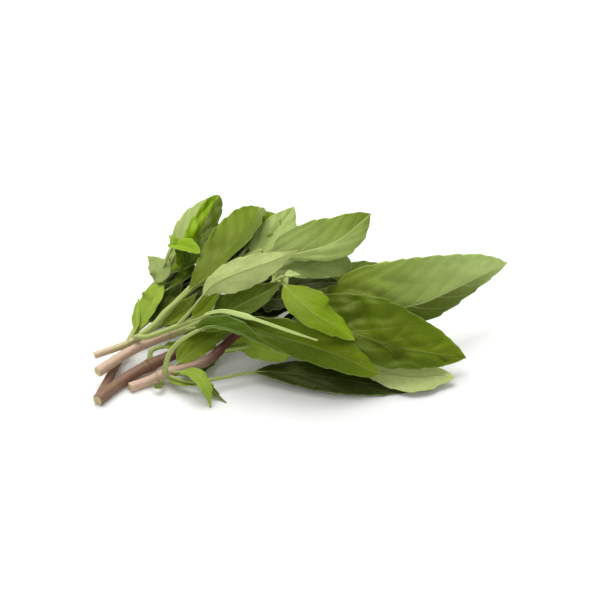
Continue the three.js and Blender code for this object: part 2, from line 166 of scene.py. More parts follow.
def mesh_of(name, skins, material):
    """One object of many skins. Each skin's vertices follow the last one's, so its faces are shifted
    by the number of vertices before it."""
    places, numbers, corners, sizes, shift = [], {}, [], [], 0
    for skin in skins:
        places.append(skin["places"])
        for key, value in skin["numbers"].items():
            numbers.setdefault(key, []).append(value)
        corners += [(skin["quads"] + shift).ravel(), (skin["fans"] + shift).ravel()]
        sizes += [np.full(len(skin["quads"]), 4), np.full(len(skin["fans"]), 3)]
        shift += len(skin["places"])
    places = (np.concatenate(places) - CENTRE) * MM
    corners, sizes = np.concatenate(corners), np.concatenate(sizes)
    mesh = bpy.data.meshes.new(name)
    mesh.vertices.add(len(places))
    mesh.vertices.foreach_set("co", places.astype(np.float32).ravel())
    mesh.loops.add(len(corners))
    mesh.loops.foreach_set("vertex_index", corners.astype(np.int32))
    mesh.polygons.add(len(sizes))
    mesh.polygons.foreach_set("loop_start", (np.cumsum(sizes) - sizes).astype(np.int32))
    mesh.polygons.foreach_set("use_smooth", np.ones(len(sizes), bool))
    mesh.update(calc_edges=True)
    for key, value in numbers.items():
        add_numbers(mesh, key, np.concatenate(value).astype(np.float32), corners)
    mesh.materials.append(material)
    piece = bpy.data.objects.new(name, mesh)
    bpy.context.collection.objects.link(piece)
    print(f"{name}: {len(places)} vertices, {int((sizes - 2).sum())} triangles")
    return piece


# %% [markdown]
# ## Colours of the leaves
#
# Basil is not one green. Old leaves are deep and dull, young shoots are nearly yellow, and every
# underside is paler and greyer. Two tones, dark and shade, hold painted shade for leaves that lie
# in the shadow of others. The palette is written in the usual screen values and turned into the
# linear ones that a renderer works with.

# %% Palette
def linear(*srgb):
    """Screen colour 0-255 to linear light: ((c + 0.055) / 1.055)^2.4 above 0.04, c / 12.92 below."""
    c = np.array(srgb, float) / 255
    return np.where(c > 0.04045, ((c + 0.055) / 1.055) ** 2.4, c / 12.92)


TONES = {
    "olive": linear(94, 110, 18),
    "sage": linear(156, 172, 98),
    "grass": linear(124, 142, 34),
    "deep": linear(74, 90, 4),
    "vivid": linear(112, 132, 6),
    "rich": linear(72, 90, 2),
    # dark is a green darkened by painted shade, for leaves that lie in the handful's shadow
    "dark": linear(42, 56, 1),
    "shoot": linear(134, 164, 6),
    "grey": linear(150, 164, 96),
    "light": linear(146, 168, 54),
    "green": linear(64, 90, 2),
    "pale": linear(192, 206, 132),
    # shade is painted shade: near black, for filler leaves in the shadowed gaps between the others
    "shade": linear(30, 42, 4),
}
UNDERSIDE = linear(176, 190, 118)  # what every underside leans to
UNDERSIDE_SHARE = 0.55  # how far it leans
print("leaf tones:", ", ".join(TONES))

# %% [markdown]
# ## Outline of a leaf
#
# A basil leaf is ovate: widest below its middle, with shallow teeth that point forward. A product
# of two powers gives the outline, because its two powers set the fullness of the base and the
# sharpness of the tip without moving any points.

# %% Outline of a blade
TOOTH = 0.7  # depth of a tooth
TOOTH_LEAN = 0.85  # share of a tooth's length at which its point stands
TOOTH_LEAST = 0.15  # share of the depth that is left at both ends of the blade
BASE_POWER, TIP_POWER = 0.75, 1.15  # for a row that names none
TIP_WIDTH = 0.4  # least half width, so that the tip stays solid


def ovate(share, base, tip):
    """Width at share s, of the greatest: (s / p)^b ((1 - s) / (1 - p))^t. The peak p is b / (b + t)."""
    peak = base / (base + tip)
    return (share / peak) ** base * ((1 - share) / (1 - peak)) ** tip


def tooth_cut(share, teeth):
    """Depth cut from the margin. It falls slowly to nothing at a tooth's point and comes back fast
    behind it, and it fades at both ends of the blade by 4 s (1 - s)."""
    within = (share * teeth) % 1
    before, behind = 1 - within / TOOTH_LEAN, (within - TOOTH_LEAN) / (1 - TOOTH_LEAN)
    depth = np.where(within < TOOTH_LEAN, before, behind)
    return TOOTH * depth * np.minimum(1, 4 * share * (1 - share) + TOOTH_LEAST)


print("width at 0.1, 0.5 and 0.9 of a plain blade:",
      np.round(ovate(np.array([0.1, 0.5, 0.9]), BASE_POWER, TIP_POWER), 2))

# %% [markdown]
# ## A row for each leaf
#
# One row of numbers tells a leaf from the next: where it leaves the stem, where its midrib runs,
# how wide each half is, and how it folds, curls and twists. Defaults keep plain leaves short.

# %% Leaf rows
def pair(value):
    """One number as two alike, or two as they are."""
    return np.broadcast_to(value, 2)


def leaf(at, tone, path, stalk=0.2, wide=5, roll=0, fold=10, curl=0, curl_end=None, wave=0.0,
         teeth=5, base=BASE_POWER, tip=TIP_POWER, thick=1.0, quilt=1.0, crease=1.0, veins=1.0,
         under=None, left=None, ends=None):
    """One leaf's row. The angles are in degrees, the lengths in millimetres. at is the share of the
    stem's length where the leaf starts, and stalk the share of its own that is petiole. wide, fold,
    curl, curl_end and the outline's powers base and tip hold one number for both halves, or one for
    the left and one for the right. roll holds one for the whole blade, or one for its start and one
    for its end. thick scales the petiole, quilt the doming, crease the uneven waves and veins their
    paleness. under is the tone of the underside, left that of the left half, and ends the one that
    the blade turns to near its tip."""
    return SimpleNamespace(
        at=at, tone=tone, path=path, stalk=stalk, wide=pair(wide), roll=pair(roll), fold=pair(fold),
        curl=pair(curl), curl_end=pair(curl if curl_end is None else curl_end), wave=wave,
        teeth=teeth, base=pair(base), tip=pair(tip), thick=thick, quilt=quilt, crease=crease,
        veins=veins, under=under, left=left or tone, ends=ends)


print("a row has", len(vars(leaf(0.5, "deep", []))), "values, and a plain leaf names three")

# %% [markdown]
# ## Bend a blade
#
# The blade is a sheet over two parameters: the share along the midrib, and the share v across,
# from -1 at the left margin to 1 at the right. Each half leaves the midrib at a fold angle and
# bends on in an arc, so a fold, a cup or a curled margin is one formula with other angles.

# %% Bend a blade
ROW_STEP, ROWS = 0.5, (20, 150)  # length of a row of faces, and the least and most rows
COLUMN_STEP, HALF_COLUMNS = 0.5, (5, 24)  # width of a column, and the least and most in one half
END_ROWS = 0.4  # how much the rows crowd to both ends, where 0 is even
FOLD_FROM = 3.0  # half width below which fold and curl fade
NEARLY_FLAT = 1e-4  # least bend, so that nothing is divided by zero
WAVES = 2.5  # waves along each margin
WAVE_SHIFT = 2.0  # angle by which the right margin's waves lead the left's


def grid_of(row, length):
    """Share along and share across, as a column and a row. The share along mixes t with
    (1 - cos(pi t)) / 2, which crowds to both ends."""
    rows = int(np.clip(length / ROW_STEP, *ROWS))
    columns = 2 * int(np.clip(sum(row.wide) / COLUMN_STEP / 2, *HALF_COLUMNS))
    t = np.linspace(0, 1, rows + 1)
    share = (1 - END_ROWS) * t + END_ROWS * (1 - np.cos(np.pi * t)) / 2
    return share[:, None], np.linspace(-1, 1, columns + 1)[None, :]


def turned(row, share):
    """The roll at a share of the blade, in radians, even from its start to its end."""
    return np.radians(row.roll[0] + (row.roll[1] - row.roll[0]) * share)


def bent_sheet(curve, row):
    """The blade's middle sheet. A section runs out by h (sin(a) - sin(a0)) / k and up by
    h (cos(a0) - cos(a)) / k, where h is the half width, a0 the fold, k the curl and a = a0 + k |v|."""
    length = curve[1][-1] * (1 - row.stalk)
    share, v = grid_of(row, length)
    hand = np.broadcast_to((v >= 0).astype(int), (len(share), v.size))
    run = row.stalk + (1 - row.stalk) * share[:, 0]
    place, _, face, side = frames_along(curve, run, turned(row, share[:, 0]))
    plain = row.wide[hand] * ovate(share, row.base[hand], row.tip[hand])
    half = np.maximum(plain - tooth_cut(share, row.teeth), TIP_WIDTH)
    opened = np.minimum(1, half / FOLD_FROM)
    start = np.radians(row.fold)[hand] * opened
    curl, curl_end = np.radians(row.curl), np.radians(row.curl_end)
    bend = (curl[hand] + (curl_end - curl)[hand] * share) * opened
    bend = np.where(np.abs(bend) < NEARLY_FLAT, NEARLY_FLAT, bend)
    reach = np.abs(v) + 0 * share
    angle = start + bend * reach
    out = np.sign(v) * half * (np.sin(angle) - np.sin(start)) / bend
    arc = half * (np.cos(start) - np.cos(angle)) / bend
    rise = arc + row.wave * v**2 * np.sin(2 * np.pi * WAVES * share + WAVE_SHIFT * hand)
    lean = np.sign(v) * np.sin(angle)
    normal = face[:, None] * np.cos(angle)[..., None] - side[:, None] * lean[..., None]
    middle = place[:, None] + side[:, None] * out[..., None] + face[:, None] * rise[..., None]
    return SimpleNamespace(length=length, share=share, v=v, hand=hand, half=half, reach=reach,
                           across=reach * half, normal=normal, middle=middle)


flat = leaf(0, "deep", [], wide=10)
straight = curve_through([(0, 0, 9), (60, 0, 9)])
flat_sheet = bent_sheet(straight, flat)
print("a blade 48 mm long and 20 mm wide has rows x columns of", flat_sheet.middle.shape[:2])

# %% [markdown]
# ## Veins, doming and creases
#
# Side veins are the lines where a phase is whole. They start along the midrib and sweep forward to
# the margin. The skin domes up between them, as basil does, and slow sums of sines keep any two
# blades from looking alike.

# %% Relief of a blade
VEIN_SPACING = 14.0  # distance of the side veins where they leave the midrib
FEWEST_VEINS = 3
VEIN_SWEEP = 2.0  # how far a side vein runs forward on its way out, of the way that it runs out
VEIN_BOW = 0.35  # how much more it sweeps at the margin
DRIFT, DRIFT_ANGLE = 0.12, 3.1  # how far veins stray from even spacing, and the angle of that wave
QUILT = 0.3  # height of the doming between side veins
QUILT_LENGTH = 45.0  # length of a blade whose doming has its full height
RIM_RIPPLE = 0.25  # height of the ripple along the margin
RIM_WIDTH = 5.0  # half width from which that ripple has its full height
CRUMPLE = 0.14  # height of the slow waves that no two blades share
CROSSED, SLANTED = (5.2, 3.7), (2.9, 2.3)  # their lengths along and aside, in millimetres
WINDING, COUNTER = (9.5, 6.1), (6.3, 4.4)  # lengths along and aside of two sets of creases
WINDING_SWAY, COUNTER_SWAY = (0.9, 3.3), (0.7, 4.1)  # how far the creases sway, and over what length
SLANTED_HEIGHT, WINDING_HEIGHT = 0.5, 1.6  # heights, where the crossed waves have 1
LOWERED = 1.6  # how far the sum is lowered, so that it swings about zero
RIB_WIDTH = 2.5  # distance from the midrib within which doming and waves fade


def vein_phase(sheet, seed):
    """The number of veins times (s - sweep), with a slow drift. Half of the seeds put the veins of
    one half between those of the other."""
    count = max(FEWEST_VEINS, round(sheet.length / VEIN_SPACING))
    sweep = VEIN_SWEEP * sheet.across / sheet.length * (1 + VEIN_BOW * sheet.reach)
    drift = DRIFT * np.sin(DRIFT_ANGLE * sheet.share + seed)
    staggered = 0.5 * sheet.hand * ((seed * 7) % 1 > 0.5)
    return count * (sheet.share - sweep) + (drift + staggered)


def crumple(sheet, seed):
    """Two crossed waves, a slanted one, and two sets of |sin|, whose feet are creases. Each wave is
    the sine of a distance over its length, and multiples of the seed shift them apart."""
    along, aside = sheet.length * sheet.share, np.sign(sheet.v) * sheet.across
    crossed = np.sin(along / CROSSED[0] + 3 * seed) * np.sin(aside / CROSSED[1] + 5 * seed)
    slanted = SLANTED_HEIGHT * np.sin(along / SLANTED[0] + sheet.across / SLANTED[1] + seed)
    sway = WINDING_SWAY[0] * np.sin(aside / WINDING_SWAY[1] + seed)
    winding = along / WINDING[0] - aside / WINDING[1] + sway + 2 * seed
    sway = COUNTER_SWAY[0] * np.sin(along / COUNTER_SWAY[1])
    counter = along / COUNTER[0] + aside / COUNTER[1] + sway + seed
    waves = crossed + slanted + WINDING_HEIGHT * np.abs(np.sin(winding))
    return waves + np.abs(np.sin(counter)) - LOWERED


def relief(sheet, row, phase, seed):
    """Height over the bent sheet. The doming is q (1 - cos(2 pi phase)) / 2."""
    fade = np.clip(sheet.across / RIB_WIDTH, 0, 1) * (1 - sheet.reach**3)
    dome = 0.5 - 0.5 * np.cos(2 * np.pi * phase)
    domes = row.quilt * QUILT * min(1.0, sheet.length / QUILT_LENGTH) * dome * fade
    rim = RIM_RIPPLE * np.sin(phase * 2 * np.pi + seed) * sheet.reach**4
    rim = rim * np.minimum(1, sheet.half / RIM_WIDTH)
    return domes + rim + CRUMPLE * row.crease * crumple(sheet, seed) * fade


flat_relief = relief(flat_sheet, flat, vein_phase(flat_sheet, 0.0), 0.0)
print(f"its relief runs from {flat_relief.min():.2f} to {flat_relief.max():.2f} mm")

# %% [markdown]
# ## Colour along a blade
#
# A blade is a little brighter near its base and duller at its margin, and some turn to another
# green at the tip; on the largest leaf that pale end is a painted sheen. The colour is worked out
# here for each place, so that the material has only its fine detail to add.

# %% Paint a blade
BRIGHTEST = 1.15  # brightness at the base, from which it falls by the share along the blade
DULLEST = 0.85
RIM_DULL = 0.1  # how much duller the margin is
TOP_POWERS = np.array([0.6, 0.3, 0.6])  # powers of the brightness in red, green and blue
UNDER_POWER = 0.3
TURN_LEFT, TURN_RIGHT = 1.3, 5  # powers of the share by which each half turns to its end tone


def paint(sheet, row):
    """The colours of the upper face and of the underside. Each is its tone times a power of
    brightness, and the upper one leans to the end tone by a power of the share along the blade."""
    top = TONES[row.tone]
    under = TONES[row.under] if row.under else (1 - UNDERSIDE_SHARE) * top + UNDERSIDE_SHARE * UNDERSIDE
    bright = np.clip(BRIGHTEST - sheet.share, DULLEST, BRIGHTEST) * (1 - RIM_DULL * sheet.reach**3)
    top = np.where(sheet.hand[..., None] > 0, top, TONES[row.left])
    if row.ends:
        lean = sheet.share ** np.where(sheet.v > 0, TURN_RIGHT, TURN_LEFT)
        top = top + (TONES[row.ends] - top) * lean[..., None]
    return top * bright[..., None] ** TOP_POWERS, under * bright[..., None] ** UNDER_POWER


flat_top, flat_under = paint(flat_sheet, flat)
print("green of its two faces at the base:", flat_top[0, 0, 1].round(3), flat_under[0, 0, 1].round(3))

# %% [markdown]
# ## Two faces for a blade
#
# A real blade is about a third of a millimetre thick and thins towards its margin. The sheet is
# moved half of that to each side, and the two faces are joined round the margin as one skin.

# %% Thicken a blade
BLADE = 0.42  # thickness at the midrib
MARGIN = 0.2  # thickness at the margin
HEM = 0.5  # width of the pale margin
BLADE_APART = 40.0  # shift of the pattern from one blade to the next, in millimetres
PHASE_APART = 30.0  # and in veins
PHASE_START = 10.0  # keeps the phase above zero


def both(upper, lower=None):
    """The upper face's numbers followed by the lower's in reverse, so that the columns go round."""
    lower = upper if lower is None else lower
    return np.concatenate([upper, lower[:, ::-1]], axis=1)


def blade(curve, row, seed):
    """The closed skin of a blade. Its thickness falls from midrib to margin by |v|^2, and what
    would reach below the ground is lifted to it."""
    sheet = bent_sheet(curve, row)
    phase = vein_phase(sheet, seed)
    middle = sheet.middle + sheet.normal * relief(sheet, row, phase, seed)[..., None]
    thick = (MARGIN + (BLADE - MARGIN) * (1 - sheet.reach**2))[..., None]
    upper, lower = middle + sheet.normal * thick / 2, middle - sheet.normal * thick / 2
    lift = np.maximum(0, GROUND - np.minimum(upper[..., 2], lower[..., 2]))
    upper[..., 2] += lift
    lower[..., 2] += lift
    aside = np.sign(sheet.v) * sheet.across + seed * BLADE_APART
    veins = [both(phase + PHASE_START + PHASE_APART * round(seed)), both(aside) / UV_LENGTH]
    values = {
        "tint": both(*paint(sheet, row)),
        "veins": np.stack(veins, axis=-1),
        "reach": both(sheet.reach),
        "across": both(sheet.across),
        "hem": both(np.clip(1 - (sheet.half - sheet.across) / HEM, 0, 1)),
        "ribs": both(np.full_like(sheet.half, row.veins)),
        "under": both(np.zeros_like(sheet.half), np.ones_like(sheet.half)),
    }
    values = {key: value[:, ::-1] for key, value in values.items()}
    return closed_skin(both(upper, lower)[:, ::-1], values)


print("a blade 48 mm long and 20 mm wide:", len(blade(straight, flat, 0.0)["places"]), "vertices")

# %% [markdown]
# ## Rings about a line
#
# A basil stem is squarish, with a shallow groove down each side. It is a profile carried along its
# curve. A cosine of four times the angle squares the round profile, so that one formula serves the
# stem and, with no squaring, the petioles.

# %% Rings and rods
def rings(place, face, side, radius, sides, square=0.0):
    """Rings of places about a line, and their angles. The radius is r (1 - q cos 4w) at angle w,
    where q is how square the profile is."""
    w = 2 * np.pi * (np.arange(sides) + 0.5) / sides
    r = radius[:, None] * (1 - square * np.cos(4 * w))[None]
    ring = side[:, None] * (r * np.cos(w))[..., None] + face[:, None] * (r * np.sin(w))[..., None]
    return place[:, None] + ring, w


def rod_skin(grid, w, along, age, pith, tint):
    """The closed skin of a rod's rings. Its UV map runs along the rod and round it by the angle."""
    shape = grid.shape[:2]
    spread = [np.broadcast_to(np.reshape(column, (-1, 1)), shape) for column in (age, pith, along)]
    return closed_skin(grid, {
        "age": spread[0],
        "pith": spread[1],
        "tint": np.broadcast_to(np.atleast_2d(tint)[:, None], (*shape, 3)),
        "veins": np.stack([spread[2] / UV_LENGTH, np.broadcast_to(w, shape)], axis=-1),
    })


BARKS = {
    "tan": linear(212, 190, 158),
    "rose": linear(204, 174, 150),
    "brown": linear(132, 98, 76),
    "russet": linear(88, 44, 36),
}
print("bark tones:", ", ".join(BARKS))

# %% [markdown]
# ## Stems
#
# A stem tapers from its cut end and swells wherever leaves join it. Its cut face is bevelled and a
# little dished, with pith inside. Bark covers the old base and gives way to green skin.

# %% Stems
STEM_SIDES = 20
STEM_STEP, FEWEST_RINGS = 1.2, 8  # length of a row of faces, and the least rings
STEM_SQUARE = 0.07  # how square the profile is
NODE_SWELLING = 0.22  # how much fuller a leaf node is
NODE_WIDTH = 3.0  # half length of that swelling
CUT_RADIUS = np.array([0.45, 0.8, 0.93])  # the rings of a cut face, in shares of the stem's radius
CUT_OUT = np.array([0.1, 0.22, 0.18])  # how far they stand out
CUT_PITH = np.array([1.0, 1.0, 0.6])  # how pale they are
BARK_TURN = 1.7  # the second bark tone is full at one over this share


def stem_radius(shoot, length, share):
    """An even taper between the row's radii, fuller by a bell curve at each leaf node."""
    plain = np.interp(share, np.linspace(0, 1, len(shoot["radius"])), shoot["radius"])
    nodes = np.array(sorted({row.at for row in shoot["leaves"]}))
    bumps = np.exp(-(((share[:, None] - nodes[None]) * length / NODE_WIDTH) ** 2)).max(axis=1)
    return plain * (1 + NODE_SWELLING * bumps)


def bark_at(shoot, share):
    """The bark runs from the shoot's first tone to its second, by the square of the share."""
    first, last = (BARKS[name] for name in shoot.get("bark", ("tan", "tan")))
    return first + (last - first) * (np.clip(BARK_TURN * share, 0, 1) ** 2)[:, None]


def age_at(shoot, share):
    """0 on the bark and 1 on the young skin, across the stretch that the shoot's row gives."""
    low, high = shoot["turns"]
    return np.clip((share - low) / (high - low), 0, 1)


def stem(shoot, start, end, cut):
    """The skin of a stem from one share of its length to another, with a cut face if cut is true."""
    curve = curve_through(shoot["path"])
    length = curve[1][-1]
    shares = np.linspace(start, end, max(FEWEST_RINGS, int(length * (end - start) / STEM_STEP)))
    place, tangent, face, side = frames_along(curve, shares, 0.0)
    grid, w = rings(place, face, side, stem_radius(shoot, length, shares), STEM_SIDES, STEM_SQUARE)
    age, bark, pith = age_at(shoot, shares), bark_at(shoot, shares), np.zeros(len(shares))
    if cut:
        shrunk = (grid[0] - place[0]) * CUT_RADIUS[:, None, None]
        ends = place[0] + shrunk - (tangent[0] * CUT_OUT[:, None])[:, None]
        grid, pith = np.concatenate([ends, grid]), np.concatenate([CUT_PITH, pith])
        age = np.pad(age, (len(ends), 0), "edge")
        bark = np.pad(bark, ((len(ends), 0), (0, 0)), "edge")
    grid[..., 2] = np.maximum(grid[..., 2], GROUND)
    along = np.concatenate([[0], np.cumsum(np.linalg.norm(np.diff(grid.mean(1), axis=0), axis=1))])
    return rod_skin(grid, w, along, age, pith, bark)


twig = dict(path=[(0, 0, 9), (40, 0, 9)], radius=(2, 1), turns=(0, 1), leaves=[flat])
print("a stem 40 mm long:", len(stem(twig, 0.0, 1.0, True)["places"]), "vertices")

# %% [markdown]
# ## Petioles and midribs
#
# The petiole of a leaf runs on under the blade as its raised midrib, thinner all the way to the
# tip. One rod makes both, and it sinks into the blade until only its lower half shows.

# %% Petioles
PETIOLE = 0.95  # radius where a petiole leaves the stem
PETIOLE_END = 0.55  # its radius where the blade starts
RIB_END = 0.12  # radius of the midrib near the tip
RIB_POWER = 0.7  # below 1, the midrib thins fast at first
RIB_REACH = 0.93  # share of the blade that the midrib runs
RIB_STEP, FEWEST_RIB_RINGS = 1.6, 12
RIB_SIDES = 10
RIB_SINK = 0.55  # how far it sinks, in shares of its radius
SINK_RATE = 12.0  # it has sunk at one over this share of the blade
RIB_AGE = 0.5  # how much greener the midrib is at the tip


def petiole(curve, row):
    """The petiole and the midrib. The radius falls evenly to the blade's start, and from there by a
    power of the share along the blade."""
    stalk, length = row.stalk, curve[1][-1]
    count = max(FEWEST_RIB_RINGS, int(length / RIB_STEP))
    shares = np.linspace(0, stalk + (1 - stalk) * RIB_REACH, count)
    inside = np.clip((shares - stalk) / (1 - stalk), 0, 1)
    outer = PETIOLE + (PETIOLE_END - PETIOLE) * shares / stalk
    inner = PETIOLE_END + (RIB_END - PETIOLE_END) * inside**RIB_POWER
    radius = np.where(shares < stalk, outer, inner) * (1 + (row.thick - 1) * (1 - inside))
    place, _, face, side = frames_along(curve, shares, turned(row, inside))
    sunk = place - face * (np.clip(inside * SINK_RATE, 0, 1) * radius * RIB_SINK)[:, None]
    grid, w = rings(sunk, face, side, radius, RIB_SIDES)
    grid[..., 2] = np.maximum(grid[..., 2], GROUND)
    return rod_skin(grid, w, shares * length, 1 + RIB_AGE * inside, 0.0, BARKS["tan"])


print("a petiole and midrib 60 mm long:", len(petiole(straight, flat)["places"]), "vertices")

# %% [markdown]
# ## The five sprigs and their leaves
#
# A sprig's row gives its stem's path, radii, the share that is bare base, and the shares between
# which bark turns to green skin. Each leaf's row starts with the share of the stem where it joins,
# its tone and the points of its midrib. Basil leaves come in opposite pairs, but in a handful many
# are turned, hidden or lost. A roll of 0 looks up, and past 90 the underside does.

# %% Sprig a
def count_leaves(shoot):
    """Leaves of a shoot and of its side shoots."""
    return len(shoot["leaves"]) + sum(count_leaves(side) for side in shoot.get("shoots", []))


SPRIG_A = dict(
    path=[(-97, -20, 7), (-81, -14, 10), (-71, -11, 16), (-63, -5, 22), (-49, 2, 33),
          (-32, 8, 41), (-18, 14, 44)],
    radius=(1.65, 1.4, 1.1), bare=0.18, turns=(0.05, 0.28),
    leaves=[
        leaf(0.42, "olive", [(-47, 0, 36), (-37, 12, 41), (-30, 23, 45), (-24.5, 36, 47),
                             (-20.5, 50.5, 46)],
             stalk=0.18, wide=(12.5, 12), roll=(0, 5), fold=(8, 32), curl=10, wave=0.5, teeth=7,
             base=0.8, tip=0.7, quilt=0.5, veins=0.3, ends="vivid"),
        leaf(0.26, "grass", [(-66, -7, 16), (-60, -5, 19), (-54, -1, 23), (-49, 3, 27)],
             stalk=0.3, wide=5, roll=20, fold=20, teeth=4),
        leaf(0.97, "sage", [(-12, 7, 45), (3, 9, 47), (18, 14, 50), (34, 31, 54)],
             stalk=0.1, wide=(14, 9), roll=(30, 25), fold=(12, -5), curl=(0, -15), wave=0.6, teeth=6,
             base=(0.6, 1.6), tip=(0.85, 0.95), quilt=0.8, crease=1.5, veins=2, ends="grass"),
        leaf(0.8, "sage", [(-23, 11, 42), (-17.5, 19, 43), (-10, 34, 45), (-3, 47, 48)],
             stalk=0.2, wide=(9, 10), roll=10, fold=15, curl=-20, tip=0.9,
             crease=1.5, veins=1.5),
        leaf(0.86, "vivid", [(-22, 28, 42), (-17, 38, 43), (-14, 47, 45)],
             stalk=0.25, wide=(6, 9), fold=15, wave=1, teeth=4, tip=0.5, quilt=2, crease=5),
        leaf(0.92, "deep", [(-8, 24, 35), (8, 35, 25), (24, 46, 14)], wide=10),
        leaf(0.6, "deep", [(-35, 25, 26), (-26, 40, 13), (-16, 55, 0)], wide=11),
        # A filler leaf in painted shade, where the gap behind the front leaves is dark.
        leaf(0.62, "shade", [(-36, 9, 30), (-29, 20, 33), (-20, 35, 36)],
             wide=11, roll=20, teeth=4),
    ],
    shoots=[dict(
        at=0.22, path=[(-77, -16, 15), (-71, -20, 18), (-61, -18, 21), (-52, -16, 24)],
        radius=(1.35, 1.0), turns=(-0.2, 0.25),
        leaves=[
            leaf(0.8, "grass", [(-52, -15, 28), (-47, -13, 34), (-41, -10, 40), (-33, -10, 45),
                                (-23, -9, 49), (-12, -8, 53), (-1, -4, 56)],
                 stalk=0.28, wide=(9, 7), roll=(-115, -125), wave=0.5, teeth=6, base=0.85,
                 quilt=0.8, crease=1.6, under="pale"),
            leaf(0.97, "rich", [(-45, -14, 25), (-31.5, -22, 29), (-17.5, -32, 30), (0, -37.5, 27.5),
                                (19.5, -40, 21), (36, -39.5, 11)],
                 stalk=0.08, wide=(10, 8), roll=(15, 50), fold=5, curl=(150, -10),
                 curl_end=(-70, -10), wave=0.4, teeth=8, base=1.1, tip=0.6, crease=3, veins=0.5,
                 ends="vivid"),
            # A strip about 3 mm wide along the curled margin of the leaf above: a painted highlight.
            leaf(0.92, "pale", [(-46, -18.5, 28), (-43, -19, 30.5), (-36, -20.5, 33), (-27.5, -25.5, 34.5),
                                (-17.5, -31.5, 35), (-5, -37.5, 34), (8, -40.5, 31)],
                 stalk=0.12, wide=(1.6, 1.4), roll=40, fold=-20, teeth=2, base=0.5,
                 tip=0.8, veins=0.0),
            leaf(0.9, "vivid", [(-46, -13, 28), (-41, -10, 32.5), (-36, -7, 36)],
                 wide=4, roll=30, fold=20, teeth=3),
        ],
    )],
)
print("sprig a:", count_leaves(SPRIG_A), "leaves")

# %% [markdown]
# ## Sprig b
#
# The stem below a runs under it and ends in a cluster of buds. Its young leaves lie in the middle
# of the handful, and the old ones behind them fill its shade, three of them coloured with painted
# shade.

# %% Sprig b
SPRIG_B = dict(
    path=[(-94, -34, 8), (-80, -20, 9.5), (-66, -13.5, 12.5), (-49, -10.5, 18.5), (-30, -6, 27),
          (-18, -5, 34), (-8, -4, 41)],
    radius=(2.4, 2.0, 1.1, 1.0), bare=0.4, turns=(0.35, 0.5), bark=("rose", "brown"),
    leaves=[
        leaf(0.45, "rich", [(-41, -16, 23), (-30.5, -15, 31), (-19.5, -14, 37), (-7.5, -9, 42)],
             stalk=0.2, wide=9, roll=25, base=0.9),
        leaf(0.97, "vivid", [(-5.5, -14, 41), (0, -24, 41), (8, -31, 38), (17.5, -32.5, 32),
                             (25, -33.5, 26)],
             stalk=0.12, wide=(13, 8), roll=10, fold=0, curl=-15, tip=0.8,
             crease=1.2, ends="shoot"),
        leaf(0.99, "pale", [(-5, -3, 42), (0, -2, 41)], wide=2, roll=30, teeth=2),
        leaf(0.98, "pale", [(-7, -5, 40), (-6, -7, 38)], wide=2, roll=30, teeth=2),
        leaf(0.94, "grey", [(-11, 7.5, 36), (0, 7, 38), (12, 9.5, 37), (25, 12.5, 35)],
             stalk=0.1, wide=(9, 6), roll=35, wave=1, teeth=4, tip=0.4, quilt=2, veins=1.5),
        # In painted shade: a dark leaf in the shadow inside the handful.
        leaf(0.85, "dark", [(-7, 5.5, 28), (6, 6, 30.5), (20, 4, 32)],
             stalk=0.3, wide=9, roll=10, teeth=4),
        leaf(0.5, "deep", [(-31, 4, 14), (-18, 9, 12), (-2, 14, 11)], wide=8, roll=25),
        leaf(0.6, "deep", [(-22, 10, 24), (-8, 26, 20), (4, 42, 12)], wide=11),
        # Two filler leaves in painted shade, where the gaps behind show only shadow.
        leaf(0.7, "shade", [(-21.5, 6, 18), (-7.5, 10.5, 20), (9.5, 17, 22)],
             wide=11, roll=20, teeth=4),
        leaf(0.75, "shade", [(-18, 1, 24), (-8, -2, 27), (1, -5, 28)],
             stalk=0.3, wide=(10, 9), roll=20, teeth=4),
        leaf(0.41, "rich", [(-57, -7, 12), (-51, -5, 12), (-44.5, -3, 12.5)],
             wide=4, roll=20, teeth=4),
    ],
)
print("sprig b:", count_leaves(SPRIG_B), "leaves")

# %% [markdown]
# ## Sprigs c
#
# A forked stem crosses under the others. Its left leg, c1, climbs to the crumpled leaves at the
# far left, and its right leg, c2, runs along the table to the largest leaves.

